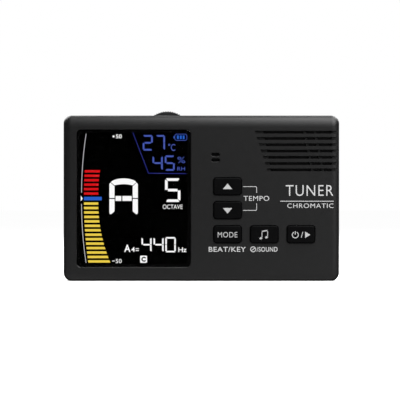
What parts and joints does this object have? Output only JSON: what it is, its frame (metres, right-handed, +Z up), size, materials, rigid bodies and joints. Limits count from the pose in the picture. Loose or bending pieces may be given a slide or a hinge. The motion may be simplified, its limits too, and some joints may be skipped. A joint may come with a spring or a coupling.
{
  "type": "desktop tuner and metronome",
  "caption": "Pocket tuner and metronome: flat rounded case with a colour display, sprung keys, speaker grille, volume thumbwheel, side jacks and a fold-out rear stand.",
  "frame": {"origin": "centre of the lower edge, on the middle plane of the case, where it stands on a desk", "axes": "+X to the right across the face, +Y from the face to the back, +Z up; the face looks along -Y"},
  "size_m": [0.11, 0.0174, 0.068],
  "materials": {
    "case_plastic": "fine-textured charcoal moulding",
    "key_plastic": "smooth satin black",
    "window_acrylic": "polished smoked acrylic",
    "lcd_glass": "polished black glass with lit colour segments",
    "frame_plastic": "plain black moulding",
    "guide_acrylic": "milky polished acrylic",
    "led_resin": "cast resin",
    "contact_rubber": "moulded",
    "board_laminate": "green solder resist",
    "switch_steel": "pressed sheet",
    "plunger_plastic": "moulded",
    "wheel_plastic": "knurled rim",
    "plated_steel": "bright plated",
    "pot_phenolic": "brown laminate",
    "basket_steel": "black lacquer",
    "cone_paper": "doped black paper",
    "coil_copper": "enamelled copper wire",
    "foam_black": "open foam",
    "cloth_black": "fine woven acoustic cloth",
    "wire_plastic": "soft insulation",
    "capsule_aluminium": "drawn can",
    "boot_rubber": "moulded",
    "foil_pouch": "satin laminated foil",
    "tape_white": "double-sided tape",
    "connector_nylon": "ivory nylon",
    "jack_plastic": "moulded black",
    "chip_resin": "moulded epoxy",
    "sensor_plastic": "white moulding",
    "can_aluminium": "drawn can",
    "sleeve_plastic": "shrink sleeve",
    "foot_rubber": "moulded",
    "screw_steel": "black zinc plated"
  },
  "bodies": {
    "case": {"front_cover": "case_plastic", "rear_cover": "case_plastic", "display_lens": "window_acrylic", "display_gasket": "foam_black", "lcd_panel": "lcd_glass", "lcd_frame": "frame_plastic", "backlight_guide": "guide_acrylic", "backlight_leds": "led_resin", "zebra_strips": "contact_rubber", "main_board": "board_laminate", "tact_switches": "switch_steel", "volume_pot": "pot_phenolic", "speaker_basket": "basket_steel", "speaker_cone": "cone_paper", "voice_coil": "coil_copper", "speaker_magnet": "plated_steel", "speaker_gasket": "foam_black", "speaker_cloth": "cloth_black", "speaker_leads": "wire_plastic", "microphone": "capsule_aluminium", "microphone_boot": "boot_rubber", "battery": "foil_pouch", "battery_tape": "tape_white", "battery_leads": "wire_plastic", "battery_plug": "connector_nylon", "battery_socket": "connector_nylon", "phones_jack": "jack_plastic", "pickup_jack": "jack_plastic", "usb_shell": "plated_steel", "usb_tongue": "jack_plastic", "climate_sensor": "sensor_plastic", "processor": "chip_resin", "amplifier": "chip_resin", "crystal": "can_aluminium", "capacitor": "sleeve_plastic", "case_screws": "screw_steel", "board_screws": "screw_steel", "rear_feet": "foot_rubber"},
    "stand": {"stand_leaf": "case_plastic", "stand_pins": "plated_steel", "stand_pad": "foot_rubber"},
    "wheel": {"volume_wheel": "wheel_plastic", "volume_shaft": "plated_steel", "volume_wheel_screw": "plated_steel"},
    "up_key": {"key_up": "key_plastic", "plunger_up": "plunger_plastic"},
    "down_key": {"key_down": "key_plastic", "plunger_down": "plunger_plastic"},
    "mode_key": {"key_mode": "key_plastic", "plunger_mode": "plunger_plastic"},
    "note_key": {"key_note": "key_plastic", "plunger_note": "plunger_plastic"},
    "power_key": {"key_power": "key_plastic", "plunger_power": "plunger_plastic"}
  },
  "joints": [
    {"name": "up_press", "type": "slide", "parent": "case", "child": "up_key", "axis": [0, 1, 0], "range_m": [0, 0.0004], "stiffness_N_per_m": 2500, "springref_m": -0.0001},
    {"name": "down_press", "type": "slide", "parent": "case", "child": "down_key", "axis": [0, 1, 0], "range_m": [0, 0.0004], "stiffness_N_per_m": 2500, "springref_m": -0.0001},
    {"name": "mode_press", "type": "slide", "parent": "case", "child": "mode_key", "axis": [0, 1, 0], "range_m": [0, 0.0004], "stiffness_N_per_m": 2500, "springref_m": -0.0001},
    {"name": "note_press", "type": "slide", "parent": "case", "child": "note_key", "axis": [0, 1, 0], "range_m": [0, 0.0004], "stiffness_N_per_m": 2500, "springref_m": -0.0001},
    {"name": "power_press", "type": "slide", "parent": "case", "child": "power_key", "axis": [0, 1, 0], "range_m": [0, 0.0004], "stiffness_N_per_m": 2500, "springref_m": -0.0001},
    {"name": "volume_turn", "type": "hinge", "parent": "case", "child": "wheel", "pos_m": [-0.0137, 0.0028, 0.058], "axis": [0, 1, 0], "range_deg": [-135, 135]},
    {"name": "stand_swing", "type": "hinge", "parent": "case", "child": "stand", "pos_m": [0, 0.0067, 0.0408], "axis": [1, 0, 0], "range_deg": [0, 65]}
  ]
}
